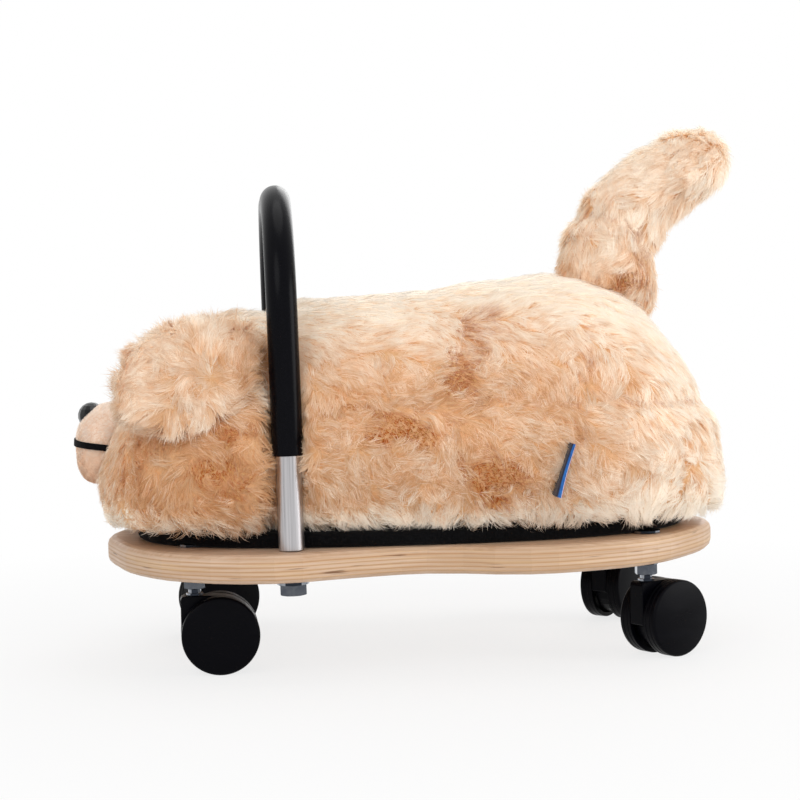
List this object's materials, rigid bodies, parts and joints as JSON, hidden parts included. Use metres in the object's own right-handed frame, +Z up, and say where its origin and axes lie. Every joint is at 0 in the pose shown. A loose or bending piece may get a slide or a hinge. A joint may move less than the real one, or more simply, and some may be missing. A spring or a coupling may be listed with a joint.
{
  "type": "plush ride on animal",
  "caption": "Stuffed puppy seat with an upright tail on a waisted plywood board, with a padded U handle across the neck and a twin-wheel swivel caster under each corner.",
  "frame": {"origin": "on the floor under the middle of the board, which is also under the middle of the whole object to within 3 mm", "axes": "+X from the head to the tail, +Y towards the puppy's right side, +Z up; the head points along -X"},
  "size_m": [0.4417, 0.2665, 0.3444],
  "materials": {
    "plywood": "pale birch plywood, thin clear lacquer",
    "black_nylon": "smooth black nylon",
    "zinc": "bright zinc plate",
    "aluminium": "brushed aluminium",
    "sleeve": "smooth black sleeve",
    "black_fabric": "matte black cloth",
    "long_plush": "long silky pile",
    "short_plush": "short pile",
    "black_gloss": "glossy black",
    "blue_ribbon": "woven ribbon"
  },
  "bodies": {
    "ride_on": {"board": "plywood", "tee_nut_front_left": "zinc", "stem_washer_front_left": "zinc", "stem_front_left": "zinc", "lock_nut_front_left": "zinc", "tee_nut_front_right": "zinc", "stem_washer_front_right": "zinc", "stem_front_right": "zinc", "lock_nut_front_right": "zinc", "tee_nut_rear_left": "zinc", "stem_washer_rear_left": "zinc", "stem_rear_left": "zinc", "lock_nut_rear_left": "zinc", "tee_nut_rear_right": "zinc", "stem_washer_rear_right": "zinc", "stem_rear_right": "zinc", "lock_nut_rear_right": "zinc", "cushion_base": "black_fabric", "handle_tube": "aluminium", "handle_grip": "sleeve", "handle_insert_left": "zinc", "bolt_washer_left": "zinc", "handle_bolt_left": "zinc", "handle_insert_right": "zinc", "bolt_washer_right": "zinc", "handle_bolt_right": "zinc", "cushion_screw_front_left": "zinc", "cushion_screw_front_right": "zinc", "cushion_screw_rear_left": "zinc", "cushion_screw_rear_right": "zinc", "plush_body": "long_plush", "plush_head": "long_plush", "plush_muzzle": "short_plush", "plush_tail": "long_plush", "ear_left": "long_plush", "ear_right": "long_plush", "nose": "black_gloss", "mouth_strip": "black_fabric", "eye_left": "black_gloss", "eye_right": "black_gloss", "side_tag": "blue_ribbon"},
    "caster_front_left": {"housing_front_left": "black_nylon", "axle_front_left": "zinc"},
    "wheel_left_front_left": {"wheel_left_front_left": "black_nylon"},
    "wheel_right_front_left": {"wheel_right_front_left": "black_nylon"},
    "caster_front_right": {"housing_front_right": "black_nylon", "axle_front_right": "zinc"},
    "wheel_left_front_right": {"wheel_left_front_right": "black_nylon"},
    "wheel_right_front_right": {"wheel_right_front_right": "black_nylon"},
    "caster_rear_left": {"housing_rear_left": "black_nylon", "axle_rear_left": "zinc"},
    "wheel_left_rear_left": {"wheel_left_rear_left": "black_nylon"},
    "wheel_right_rear_left": {"wheel_right_rear_left": "black_nylon"},
    "caster_rear_right": {"housing_rear_right": "black_nylon", "axle_rear_right": "zinc"},
    "wheel_left_rear_right": {"wheel_left_rear_right": "black_nylon"},
    "wheel_right_rear_right": {"wheel_right_rear_right": "black_nylon"}
  },
  "joints": [
    {"name": "swivel_front_left", "type": "hinge", "parent": "ride_on", "child": "caster_front_left", "pos_m": [-0.1447, -0.0737, 0], "axis": [0, 0, 1], "continuous": true},
    {"name": "spin_left_front_left", "type": "hinge", "parent": "caster_front_left", "child": "wheel_left_front_left", "pos_m": [-0.12921, -0.07316, 0.02479], "axis": [0.0349, -0.9994, 0], "continuous": true},
    {"name": "spin_right_front_left", "type": "hinge", "parent": "caster_front_left", "child": "wheel_right_front_left", "pos_m": [-0.12921, -0.07316, 0.02479], "axis": [0.0349, -0.9994, 0], "continuous": true},
    {"name": "swivel_front_right", "type": "hinge", "parent": "ride_on", "child": "caster_front_right", "pos_m": [-0.1447, 0.0737, 0], "axis": [0, 0, 1], "continuous": true},
    {"name": "spin_left_front_right", "type": "hinge", "parent": "caster_front_right", "child": "wheel_left_front_right", "pos_m": [-0.13128, 0.08145, 0.02479], "axis": [0.5, -0.866, 0], "continuous": true},
    {"name": "spin_right_front_right", "type": "hinge", "parent": "caster_front_right", "child": "wheel_right_front_right", "pos_m": [-0.13128, 0.08145, 0.02479], "axis": [0.5, -0.866, 0], "continuous": true},
    {"name": "swivel_rear_left", "type": "hinge", "parent": "ride_on", "child": "caster_rear_left", "pos_m": [0.1447, -0.0737, 0], "axis": [0, 0, 1], "continuous": true},
    {"name": "spin_left_rear_left", "type": "hinge", "parent": "caster_rear_left", "child": "wheel_left_rear_left", "pos_m": [0.1577, -0.06526, 0.02479], "axis": [0.5446, -0.8387, 0], "continuous": true},
    {"name": "spin_right_rear_left", "type": "hinge", "parent": "caster_rear_left", "child": "wheel_right_rear_left", "pos_m": [0.1577, -0.06526, 0.02479], "axis": [0.5446, -0.8387, 0], "continuous": true},
    {"name": "swivel_rear_right", "type": "hinge", "parent": "ride_on", "child": "caster_rear_right", "pos_m": [0.1447, 0.0737, 0], "axis": [0, 0, 1], "continuous": true},
    {"name": "spin_left_rear_right", "type": "hinge", "parent": "caster_rear_right", "child": "wheel_left_rear_right", "pos_m": [0.15466, 0.08557, 0.02479], "axis": [0.766, -0.6428, 0], "continuous": true},
    {"name": "spin_right_rear_right", "type": "hinge", "parent": "caster_rear_right", "child": "wheel_right_rear_right", "pos_m": [0.15466, 0.08557, 0.02479], "axis": [0.766, -0.6428, 0], "continuous": true}
  ]
}
